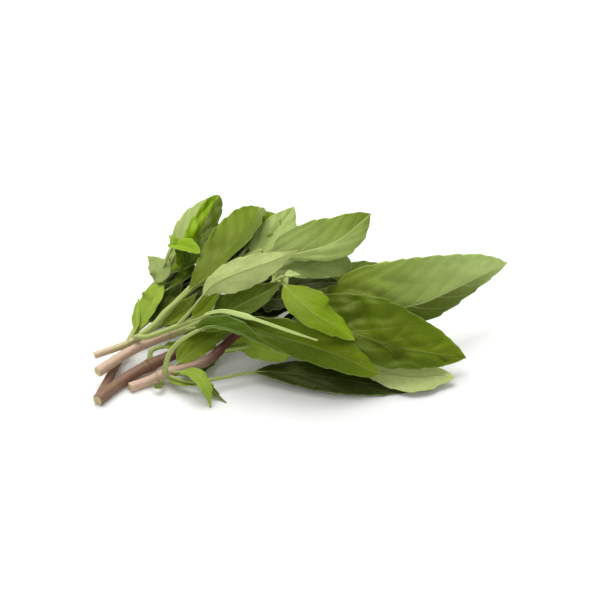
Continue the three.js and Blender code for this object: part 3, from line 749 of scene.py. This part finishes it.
# %% Sprigs c
SPRIG_C1 = dict(
    path=[(-93, -48, 2.5), (-88, -27, 3), (-83, -11, 4.5), (-78, 2, 9), (-72, 15, 19),
          (-65, 28, 28), (-56, 41, 35)],
    radius=(2.2, 1.5, 0.9), bare=0.36, turns=(0.3, 0.42), bark=("brown", "brown"),
    leaves=[
        leaf(0.4, "light", [(-73.5, 5, 15), (-70, 9.5, 20), (-67.5, 16.5, 24)],
             wide=(8, 6), roll=-10, fold=12, teeth=4, base=0.6, tip=0.6),
        leaf(0.38, "light", [(-78.5, -2, 11), (-78.5, 5.5, 14), (-78.5, 12.5, 17)],
             wide=(1.5, 2), roll=-30, fold=20, teeth=3),
        leaf(0.6, "sage", [(-64.5, 26, 26), (-58, 32, 36), (-52.5, 45.5, 43), (-46, 57, 47)],
             wide=(6, 7), roll=(-160, -150), fold=15, teeth=6, base=1.1, tip=1.0),
        leaf(0.75, "rich", [(-55, 19, 34), (-50, 30, 41), (-45, 43, 46), (-40, 55, 50)],
             stalk=0.1, wide=(7, 8.5), roll=10, fold=(30, 20), wave=0.8, teeth=6, base=0.9,
             tip=0.7, quilt=2, crease=7, veins=1.6, left="shoot"),
        leaf(0.68, "grey", [(-69.5, 19, 27), (-71.5, 25, 29), (-74.5, 29, 31)],
             wide=(4, 8), roll=-10, teeth=3),
        leaf(0.62, "green", [(-56, 15, 28), (-56, 18.5, 34), (-58, 22, 39), (-60, 24.5, 42),
                             (-63.5, 29, 43)],
             stalk=0.25, wide=5, fold=20, teeth=3, tip=0.9, ends="shoot"),
        leaf(0.7, "shoot", [(-62, 25, 38), (-60, 23.5, 41), (-55.5, 19.5, 43), (-51, 15.5, 43.5),
                            (-47.5, 12.5, 43.5)],
             stalk=0.5, wide=(5, 6), roll=10, fold=20, teeth=3, tip=0.8, veins=0.5),
        leaf(0.42, "deep", [(-62, 9, 6), (-50, 22, 6), (-35, 34, 5)],
             stalk=0.3, wide=6, roll=20, teeth=4),
        leaf(0.55, "deep", [(-60, 35, 18), (-52, 45, 9), (-43, 57, 0)], wide=9),
        leaf(0.46, "rich", [(-67.5, 5.5, 14), (-64, 11.5, 18), (-60, 19.5, 21), (-57, 27, 24)],
             wide=6, teeth=4),
        # Two filler leaves in painted shade, in the shadow under the crumpled leaves.
        leaf(0.5, "shade", [(-69.5, 18.5, 12), (-60, 25.5, 16), (-47, 35, 20)],
             wide=9, roll=20, teeth=4),
        leaf(0.54, "shade", [(-60.5, 15.5, 14), (-50.5, 17, 18), (-41, 21.5, 22)],
             wide=8, roll=20, teeth=4),
    ],
)
SPRIG_C2 = dict(
    path=[(-93, -48, 2.5), (-83.5, -35, 3), (-72, -26, 5), (-52, -14, 7), (-30, -4, 9),
          (-5, -2, 13), (12, -2, 19)],
    radius=(2.6, 2.5, 1.4, 1.0), bare=0.26, turns=(0.45, 0.7), bark=("brown", "russet"),
    leaves=[
        # Its right half is painted a deeper green than its left as shade, and the pale that it turns to near
        # the tip, mostly on the left half, is a painted sheen.
        leaf(0.97, "deep", [(23, -5, 22), (40, -9, 26), (57, -7, 28), (76, 3, 31), (100, 20, 33)],
             stalk=0.06, wide=(23, 9.5), roll=20, fold=(35, -35), wave=0.6, teeth=9,
             base=0.42, tip=0.8, quilt=0.6, crease=2.5, veins=2.5, left="grass",
             ends="pale"),
        leaf(0.93, "olive", [(21, 12, 27), (31, 18, 30), (42, 20, 32)],
             stalk=0.3, wide=(8, 6), roll=10, teeth=4),
        leaf(0.76, "deep", [(1, -4, 17), (9, -8, 21), (25, -22, 22), (42, -28, 19), (60, -27, 14),
                            (78, -23, 8)],
             stalk=0.165, wide=(20, 12), roll=40, fold=8, wave=0.6, teeth=8, tip=0.85,
             quilt=1.2, crease=9, veins=0.7, ends="vivid"),
        leaf(0.27, "light", [(-70.5, -20, 9), (-66.5, -17, 9.5), (-60, -14.5, 8.5), (-53, -11, 6)],
             stalk=0.5, wide=3, roll=10, teeth=3, thick=1.6),
        leaf(0.8, "deep", [(-1, 8, 9), (9, 20, 5), (20, 31, 0)], wide=8),
        leaf(0.95, "deep", [(24, 6, 12), (40, 12, 7), (58, 14, 2)], wide=8),
        leaf(0.85, "deep", [(12, 15, 16), (28, 30, 8), (45, 43, 0)], wide=12, teeth=6),
        # A filler leaf in painted shade, under the largest leaves.
        leaf(0.7, "shade", [(-5, -1, 8), (14.5, -3.5, 10), (33.5, 0.5, 10)],
             wide=(13, 10), roll=20, teeth=4),
    ],
)
print("sprigs c1 and c2:", count_leaves(SPRIG_C1), "and", count_leaves(SPRIG_C2), "leaves")

# %% [markdown]
# ## Sprig d
#
# The front stem lies on the table and is brown far up. Small shoots sit at its first node, and its
# long leaves lie flat along the front.

# %% Sprig d
SPRIG_D = dict(
    path=[(-79, -38, 1.9), (-72, -34, 2), (-62, -31, 5), (-44, -27, 9), (-30, -16, 16),
          (-15, -10, 21)],
    radius=(2.3, 2.0, 1.5), bare=0.19, turns=(2.0, 3.0), bark=("rose", "russet"),
    leaves=[
        leaf(0.24, "green", [(-62, -36, 13), (-60, -36, 20), (-56, -34.5, 25), (-49.5, -32.5, 29),
                             (-42, -29.5, 31), (-34.5, -32.5, 32.5), (-26, -36.5, 32), (-18.5, -39.5, 29)],
             stalk=0.5, wide=(6, 2), roll=20, fold=20, teeth=4, thick=1.6, base=0.6,
             tip=0.7, veins=0.3),
        leaf(0.27, "light", [(-49.5, -38.5, 11), (-43, -46, 8), (-41, -50.5, 0)],
             wide=(4, 4.5), teeth=4),
        leaf(0.26, "rich", [(-48, -34, 5), (-43, -39, 4), (-39, -43, 2), (-34, -47, 0)],
             stalk=0.4, wide=2.5, teeth=4),
        leaf(0.22, "rich", [(-65, -39, 3), (-69, -38, 4), (-69, -36, 4)], wide=1.5, teeth=3),
        leaf(0.22, "light", [(-60, -35, 4), (-55, -37, 4), (-51, -38, 4), (-47, -39, 4)],
             wide=(2.5, 3), teeth=3),
        # Its dark tone is painted shade, for the long leaf that lies low in the shadow of those above it.
        leaf(0.23, "dark", [(-51, -37.5, 5), (-36, -34.5, 5), (-20, -29.5, 4.5), (0, -29.5, 3),
                            (23, -33, 2), (52, -38.5, 0)],
             stalk=0.37, wide=11, fold=(10, 0), teeth=7, base=0.9, tip=0.9, thick=1.2,
             crease=2, veins=0.6),
        leaf(0.62, "grass", [(-18, -18.5, 11), (9.5, -21.5, 9), (33.5, -30, 6), (52, -35.5, 6),
                             (63.5, -33, 5), (72, -32.5, 4)],
             stalk=0.6, wide=(8, 7.5), roll=-160, fold=5, tip=0.7, under="pale"),
        leaf(0.5, "light", [(-28.5, -17, 12), (-18, -21.5, 12), (-4.5, -23, 9)],
             stalk=0.2, wide=6, roll=40, tip=0.5),
        leaf(0.24, "vivid", [(-56, -24, 7), (-48, -17, 10), (-40, -10, 11), (-32, -6, 12)],
             stalk=0.2, wide=(8, 7), roll=10),
        leaf(0.25, "rich", [(-56, -28, 4), (-48, -25, 4), (-42, -20, 4), (-37, -16, 5)],
             stalk=0.2, wide=(3, 5), roll=10, teeth=4),
        leaf(0.9, "deep", [(0, -14, 14), (20, -20, 10), (45, -18, 6)], wide=9),
    ],
)
print("sprig d:", count_leaves(SPRIG_D), "leaves")

# %% [markdown]
# ## Nodes that read like sums
#
# Both materials are patterns worked out by nodes, which stay sharp at any distance and need no
# pictures. A few helpers let one line of code stand for one sum, and hide the wiring.

# %% Node helpers
BUMP_STRENGTH = 0.5


def new_material(name):
    """A material with its tree and its shader."""
    material = bpy.data.materials.new(name)
    material.use_nodes = True
    return material, material.node_tree, material.node_tree.nodes["Principled BSDF"]


def link(tree, source, target):
    """Wires a socket to a socket, or sets the target's value when the source is a plain value."""
    if isinstance(source, bpy.types.NodeSocket):
        tree.links.new(source, target)
    else:
        target.default_value = source


def calc(tree, operation, a, b=0.0, clamp=False):
    """One operation of arithmetic on sockets or numbers, held from 0 to 1 if clamp is true."""
    node = tree.nodes.new("ShaderNodeMath")
    node.operation, node.use_clamp = operation, clamp
    link(tree, a, node.inputs[0])
    link(tree, b, node.inputs[1])
    return node.outputs[0]


def madd(tree, a, b, c):
    """a times b plus c."""
    return calc(tree, "ADD", calc(tree, "MULTIPLY", a, b), c)


def less(tree, value):
    """1 less a value, held from 0 to 1."""
    return calc(tree, "SUBTRACT", 1.0, value, clamp=True)


def blend_colours(tree, mode, share, a, b):
    """Colours a and b mixed or multiplied by a share. Inputs 6 and 7 and output 2 of the node are
    the ones for colours."""
    node = tree.nodes.new("ShaderNodeMix")
    node.data_type, node.blend_type = "RGBA", mode
    link(tree, share, node.inputs[0])
    link(tree, a, node.inputs[6])
    link(tree, b, node.inputs[7])
    return node.outputs[2]


def attribute(tree, name, output="Fac"):
    """A number of the mesh, or a colour with the output 'Color'."""
    node = tree.nodes.new("ShaderNodeAttribute")
    node.attribute_name = name
    return node.outputs[output]


def vein_map(tree):
    """The UV map that every skin carries."""
    node = tree.nodes.new("ShaderNodeUVMap")
    node.uv_map = "veins"
    return node.outputs[0]


def noise(tree, scale, detail=3.0, coordinates=None):
    """Noise of scale spots to a metre, or to a unit of the coordinates given."""
    node = tree.nodes.new("ShaderNodeTexNoise")
    node.inputs["Scale"].default_value = scale
    node.inputs["Detail"].default_value = detail
    if coordinates is None:
        coordinates = tree.nodes.new("ShaderNodeTexCoord").outputs["Object"]
    link(tree, coordinates, node.inputs["Vector"])
    return node.outputs["Fac"]


def roughen(tree, shader, height, depth):
    """Bumps of a height pattern on the shader, depth in metres at a height of 1."""
    bump = tree.nodes.new("ShaderNodeBump")
    bump.inputs["Strength"].default_value = BUMP_STRENGTH
    bump.inputs["Distance"].default_value = depth
    link(tree, height, bump.inputs["Height"])
    link(tree, bump.outputs[0], shader.inputs["Normal"])


def let_light_through(shader, weight, radius):
    """Light that enters the skin and comes out a radius away, for each colour, in millimetres."""
    shader.inputs["Subsurface Weight"].default_value = weight
    shader.inputs["Subsurface Radius"].default_value = radius
    shader.inputs["Subsurface Scale"].default_value = MM


def rgba(*srgb):
    """A screen colour as a node wants it."""
    return (*map(float, linear(*srgb)), 1.0)


print("pure white as a node's colour:", rgba(255, 255, 255))

# %% [markdown]
# ## Pattern of the veins
#
# The UV map holds the vein phase and the distance from the midrib. The distance to the nearest
# whole phase draws the side veins, and the edges of small cells draw the net between them.

# %% Vein pattern
VEIN_WIDTHS = (0.05, 0.025)  # half width of a side vein at midrib and margin, in vein spacings
VEIN_FADES = (0.9, 0.3)  # its strength there
MIDRIB_WIDTH = 0.5  # half width of the midrib, in millimetres
NET_SCALE = 750.0  # cells of the finest veins to a metre
NET_SHARPNESS = 7.0


def across_blade(tree, reach, ends):
    """A number that runs evenly from its first end at the midrib to its second at the margin."""
    return madd(tree, reach, ends[1] - ends[0], ends[0])


def main_veins(tree, reach):
    """1 on the side veins and the midrib, and 0 between them."""
    parts = tree.nodes.new("ShaderNodeSeparateXYZ")
    link(tree, vein_map(tree), parts.inputs[0])
    saw = calc(tree, "FRACT", calc(tree, "ADD", parts.outputs[0], 0.5))
    near = calc(tree, "ABSOLUTE", calc(tree, "SUBTRACT", saw, 0.5))
    side = less(tree, calc(tree, "DIVIDE", near, across_blade(tree, reach, VEIN_WIDTHS)))
    middle = less(tree, calc(tree, "DIVIDE", attribute(tree, "across"), MIDRIB_WIDTH))
    faded = calc(tree, "MULTIPLY", side, across_blade(tree, reach, VEIN_FADES))
    return calc(tree, "MAXIMUM", faded, middle)


def vein_net(tree):
    """1 on the edges of cells about a millimetre wide, and 0 inside them."""
    cells = tree.nodes.new("ShaderNodeTexVoronoi")
    cells.feature = "DISTANCE_TO_EDGE"
    cells.inputs["Scale"].default_value = NET_SCALE
    link(tree, tree.nodes.new("ShaderNodeTexCoord").outputs["Object"], cells.inputs["Vector"])
    return less(tree, calc(tree, "MULTIPLY", cells.outputs["Distance"], NET_SHARPNESS))


print(f"cells of the net are about {1 / NET_SCALE / MM:.1f} mm wide")

# %% [markdown]
# ## Leaf material
#
# Thai basil is a little waxy above and matt beneath, and a little light passes through its thin
# blade. The tint that rides on the mesh is clouded, mottled and netted, and paler on its veins.

# %% Leaf material
CLOUDS, CLOUD_DETAIL, CLOUD_GAIN, CLOUD_BASE = 55.0, 2.0, 0.9, 0.55
MOTTLE, MOTTLE_GAIN, MOTTLE_BASE = 420.0, 0.5, 0.75
SHADING = 0.6  # how much of clouds and mottling shows
PALE_VEIN = rgba(200, 215, 135)
PALENESS = 0.4  # how far a vein leans to the pale colour
NET_SHOWS, HEM_SHOWS = 0.1, 0.45
VEIN_SHOWS, FAINTEST_VEIN = 0.5, 0.05
TOP_ROUGH, UNDER_ROUGHER, ROUGH_SPOTS, ROUGH_GAIN = 0.38, 0.22, 300.0, 0.12
NET_HEIGHT, GRAIN, GRAIN_DETAIL, GRAIN_HEIGHT = 0.2, 900.0, 4.0, 0.3
LEAF_BUMP = 0.0003  # metres
SHINE, WAX = 0.22, (0.95, 1.0, 0.4, 1.0)  # strength and tint of the shine
LEAF_GLOW, LEAF_DEPTHS = 0.2, (0.5, 0.8, 0.1)  # light that passes through, and how far it goes


def leaf_colour(tree, veins, net):
    """The tint times clouds and mottling, mixed towards a paler tint on net, veins and margin."""
    tint = attribute(tree, "tint", "Color")
    clouds = madd(tree, noise(tree, CLOUDS, CLOUD_DETAIL), CLOUD_GAIN, CLOUD_BASE)
    mottle = madd(tree, noise(tree, MOTTLE), MOTTLE_GAIN, MOTTLE_BASE)
    shaded = blend_colours(tree, "MULTIPLY", SHADING, tint, calc(tree, "MULTIPLY", clouds, mottle))
    pale = blend_colours(tree, "MIX", PALENESS, tint, PALE_VEIN)
    netted = blend_colours(tree, "MIX", calc(tree, "MULTIPLY", net, NET_SHOWS), shaded, pale)
    shows = madd(tree, attribute(tree, "ribs"), VEIN_SHOWS, FAINTEST_VEIN)
    veined = blend_colours(tree, "MIX", calc(tree, "MULTIPLY", veins, shows, clamp=True), netted, pale)
    hem = calc(tree, "MULTIPLY", attribute(tree, "hem"), HEM_SHOWS)
    return blend_colours(tree, "MIX", hem, veined, pale)


def leaf_material():
    """Veins sink into the upper face and stand proud of the lower, so their height takes its sign
    from the face."""
    material, tree, shader = new_material("basil_leaf")
    under, net = attribute(tree, "under"), vein_net(tree)
    veins = main_veins(tree, attribute(tree, "reach"))
    link(tree, leaf_colour(tree, veins, net), shader.inputs["Base Color"])
    rough = madd(tree, under, UNDER_ROUGHER, TOP_ROUGH)
    link(tree, madd(tree, noise(tree, ROUGH_SPOTS), ROUGH_GAIN, rough), shader.inputs["Roughness"])
    sign = madd(tree, under, 2.0, -1.0)
    height = calc(tree, "MULTIPLY", madd(tree, net, NET_HEIGHT, veins), sign)
    grain = calc(tree, "MULTIPLY", noise(tree, GRAIN, GRAIN_DETAIL), GRAIN_HEIGHT)
    roughen(tree, shader, calc(tree, "ADD", height, grain), LEAF_BUMP)
    shader.inputs["Specular IOR Level"].default_value = SHINE
    shader.inputs["Specular Tint"].default_value = WAX
    let_light_through(shader, LEAF_GLOW, LEAF_DEPTHS)
    return material


LEAF = leaf_material()
print("leaf material:", len(LEAF.node_tree.nodes), "nodes")

# %% [markdown]
# ## Stem material
#
# The bark of an old base is a warm, slightly pink brown with fine streaks along it. It turns to
# pale green skin in blotches, and a cut end shows cream pith. The streaks are noise stretched in
# the UV map, so that they follow every bend.

# %% Stem material
STREAK_STRETCH = (1.2, 3.0, 1.0)  # how dense streaks are along the stem and round it
STREAKS, STREAK_DETAIL, STREAK_GAIN, STREAK_BASE, STREAKS_SHOW = 2.5, 4.0, 1.3, 0.35, 0.8
BLOTCHES, BLOTCH_GAIN = 220.0, 0.5
SKIN_DARK, SKIN_LIGHT, PITH = rgba(142, 160, 62), rgba(184, 198, 122), rgba(206, 190, 140)
PORES, PORE_HEIGHT = 1400.0, 0.4
STEM_BUMP = 0.0004  # metres
STEM_ROUGH, STEM_SHINE, STEM_GLOW, STEM_DEPTHS = 0.5, 0.35, 0.15, (0.8, 0.8, 0.3)


def stem_colour(tree, streaks):
    """Bark times streaks where the age is 0, streaked skin where it is 1, and pith where cut."""
    bark = attribute(tree, "tint", "Color")
    worn = blend_colours(tree, "MULTIPLY", STREAKS_SHOW, bark, madd(tree, streaks, STREAK_GAIN, STREAK_BASE))
    skin = blend_colours(tree, "MIX", streaks, SKIN_DARK, SKIN_LIGHT)
    blotches = calc(tree, "SUBTRACT", noise(tree, BLOTCHES), 0.5)
    uneven = calc(tree, "MULTIPLY", blotches, BLOTCH_GAIN)
    age = calc(tree, "ADD", attribute(tree, "age"), uneven, clamp=True)
    whole = blend_colours(tree, "MIX", age, worn, skin)
    return blend_colours(tree, "MIX", attribute(tree, "pith"), whole, PITH)


def stem_material():
    """Streaks give both the colour and the relief, so that they agree."""
    material, tree, shader = new_material("basil_stem")
    stretch = tree.nodes.new("ShaderNodeVectorMath")
    stretch.operation = "MULTIPLY"
    link(tree, vein_map(tree), stretch.inputs[0])
    stretch.inputs[1].default_value = STREAK_STRETCH
    streaks = noise(tree, STREAKS, STREAK_DETAIL, stretch.outputs[0])
    link(tree, stem_colour(tree, streaks), shader.inputs["Base Color"])
    shader.inputs["Roughness"].default_value = STEM_ROUGH
    shader.inputs["Specular IOR Level"].default_value = STEM_SHINE
    roughen(tree, shader, madd(tree, noise(tree, PORES), PORE_HEIGHT, streaks), STEM_BUMP)
    let_light_through(shader, STEM_GLOW, STEM_DEPTHS)
    return material


STEM = stem_material()
print("stem material:", len(STEM.node_tree.nodes), "nodes")

# %% [markdown]
# ## Grow the sprigs
#
# Each sprig becomes two pieces: its leaves, and its stem with petioles and midribs. Together they
# stand for the sprig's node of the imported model. A seed for each leaf, a golden step from the
# last, shifts its waves and veins.

# %% Grow
FIRST_SEED = 0.1
SPRIG_SEED, LEAF_SEED, SHOOT_SEED = 0.37, 0.618, 0.3  # steps to the next sprig, leaf and side shoot


def joint_of(curve, share):
    """The place on a stem where a leaf or a side shoot joins it."""
    return frames_along(curve, np.array([share]), 0.0)[0][0]


def grow(shoot, start, seed):
    """The skins of a shoot: blades in one list, and rods in another, side shoots included."""
    curve = curve_through(shoot["path"])
    blades, rods = [], [stem(shoot, start, 1.0, False)]
    for number, row in enumerate(shoot["leaves"]):
        rib = curve_through([joint_of(curve, row.at), *row.path])
        blades.append(blade(rib, row, (seed + number * LEAF_SEED) % 1 + number))
        rods.append(petiole(rib, row))
    for side in shoot.get("shoots", []):
        rooted = {**side, "path": [joint_of(curve, side["at"]), *side["path"]]}
        more_blades, more_rods = grow(rooted, 0.0, seed + SHOOT_SEED)
        blades += more_blades
        rods += more_rods
    return blades, rods


def settle(piece, node):
    """A piece that moves with the only body and hides its node."""
    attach(piece, "root")
    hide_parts(node)


SPRIGS = {
    "sprig_a": SPRIG_A, "sprig_b": SPRIG_B, "sprig_c1": SPRIG_C1, "sprig_c2": SPRIG_C2,
    "sprig_d": SPRIG_D,
}
for number, (name, shoot) in enumerate(SPRIGS.items()):
    blades, rods = grow(shoot, shoot["bare"], number * SPRIG_SEED + FIRST_SEED)
    settle(mesh_of(name + "_leaves", blades, LEAF), name)
    settle(mesh_of(name + "_stem", rods, STEM), name)

# %% [markdown]
# ## Bare bases
#
# The woody stretch below the leaves is a piece of its own on each stem. Sprigs c1 and c2 share
# one base, whose two legs meet at the cut end.

# %% Bases
BASES = {
    "stem_base_a": [SPRIG_A], "stem_base_b": [SPRIG_B],
    "stem_base_c_fork": [SPRIG_C1, SPRIG_C2], "stem_base_d": [SPRIG_D],
}
for name, shoots in BASES.items():
    skins = [stem(shoot, 0.0, shoot["bare"], True) for shoot in shoots]
    settle(mesh_of(name + "_bark", skins, STEM), name)

# %% [markdown]
# ## Table and light
#
# The basil lies on a plain pale table. One large lamp behind and above gives the soft light with
# shade to the front, and a weak one in front and an even sky fill the shade.

# %% Stage
TABLE_HALF = 3.0  # metres
TABLE_COLOUR, TABLE_ROUGH = (0.9, 0.9, 0.89, 1), 0.8
AIM = (0, 0, 0.02)
WHITE, SKY = (1, 1, 1, 1), 0.48  # colour and strength of the sky


def table_top():
    """A square sheet at the height of the ground."""
    mesh = bpy.data.meshes.new("table")
    corners = [(-1, -1), (1, -1), (1, 1), (-1, 1)]
    mesh.from_pydata([(x * TABLE_HALF, y * TABLE_HALF, 0) for x, y in corners], [], [(0, 1, 2, 3)])
    material, _, shader = new_material("pale_table")
    shader.inputs["Base Color"].default_value = TABLE_COLOUR
    shader.inputs["Roughness"].default_value = TABLE_ROUGH
    mesh.materials.append(material)
    table = bpy.data.objects.new("table", mesh)
    bpy.context.collection.objects.link(table)


def aim(thing, place, target):
    """Puts a lamp or the camera at a place, turned to a target, and adds it to the scene."""
    thing.location = place
    thing.rotation_mode = "QUATERNION"
    thing.rotation_quaternion = (Vector(target) - Vector(place)).to_track_quat("-Z", "Y")
    bpy.context.collection.objects.link(thing)


def area_light(name, place, size, power):
    """A square lamp of a size in metres and a power in watts."""
    light = bpy.data.lights.new(name, "AREA")
    light.size, light.energy = size, power
    aim(bpy.data.objects.new(name, light), place, AIM)
    print(f"{name}: {size} m wide, {power} W")


table_top()
area_light("key", (-0.25, 0.4, 1.0), 1.0, 13.5)
area_light("fill", (0.5, -0.9, 0.6), 1.2, 1.5)
world = bpy.data.worlds.new("studio")
world.use_nodes = True
sky = world.node_tree.nodes["Background"]
sky.inputs["Color"].default_value = WHITE
sky.inputs["Strength"].default_value = SKY
bpy.context.scene.world = world
bpy.context.scene.view_settings.view_transform = "Standard"

# %% [markdown]
# ## Camera
#
# The camera looks down at the handful by 35 degrees, from three quarters of a metre. A long lens
# keeps the near leaves from growing large beside the far ones.

# %% Camera
TARGET = Vector((-0.0013, -0.0032, 0.025))  # over the origin of the rows
DISTANCE, ELEVATION = 0.75, math.radians(35)
LENS, SENSOR = 94.5, 36.0  # millimetres
NEAREST = 0.01  # metres from the camera within which nothing is drawn
camera = bpy.data.objects.new("camera", bpy.data.cameras.new("camera"))
camera.data.lens, camera.data.sensor_width = LENS, SENSOR
camera.data.clip_start = NEAREST
away = Vector((0, -math.cos(ELEVATION), math.sin(ELEVATION)))
aim(camera, TARGET + DISTANCE * away, TARGET)
bpy.context.scene.camera = camera
print("camera at", [round(c, 3) for c in camera.location])

# %% [markdown]
